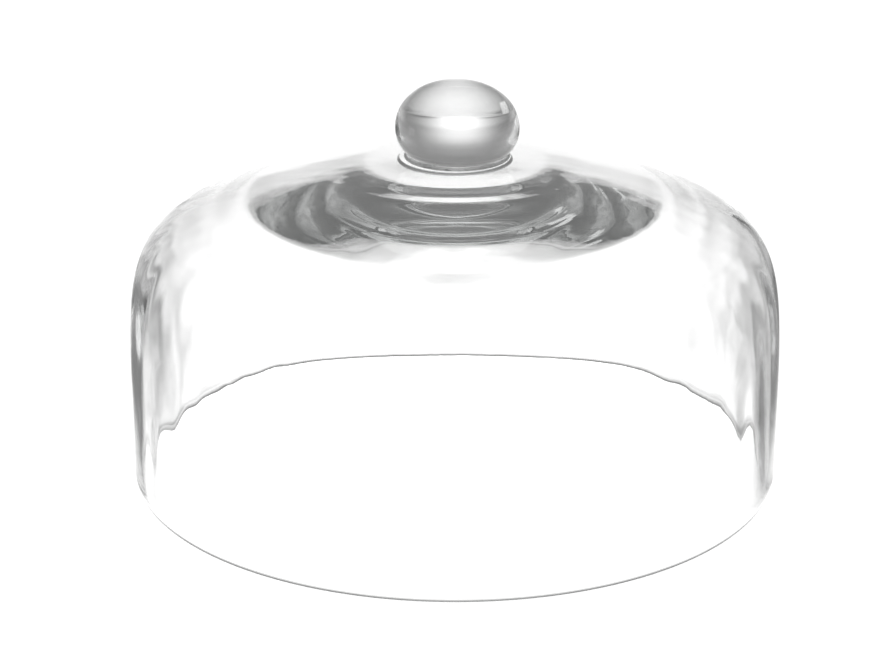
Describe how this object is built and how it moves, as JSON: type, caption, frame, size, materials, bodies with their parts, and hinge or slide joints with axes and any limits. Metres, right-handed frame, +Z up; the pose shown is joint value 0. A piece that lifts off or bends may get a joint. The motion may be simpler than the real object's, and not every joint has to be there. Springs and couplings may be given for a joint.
{
  "type": "glass bell jar dome",
  "caption": "Clear glass bell jar dome with a flattened solid ball knob, open below, that stands on its ground rim and covers a displayed piece.",
  "frame": {"origin": "centre of the open mouth, in the plane of the ground rim that the dome stands on", "axes": "+Z up along the axis of the bell, through the knob; +X and +Y are equivalent because every piece is round"},
  "size_m": [0.28, 0.28, 0.1735],
  "materials": {
    "blown_glass": "fire-polished clear soda-lime glass with faint ripples",
    "solid_glass": "fire-polished clear solid glass"
  },
  "bodies": {
    "root": {"dome_shell": "blown_glass", "neck_collar": "solid_glass", "knob": "solid_glass"}
  },
  "joints": []
}
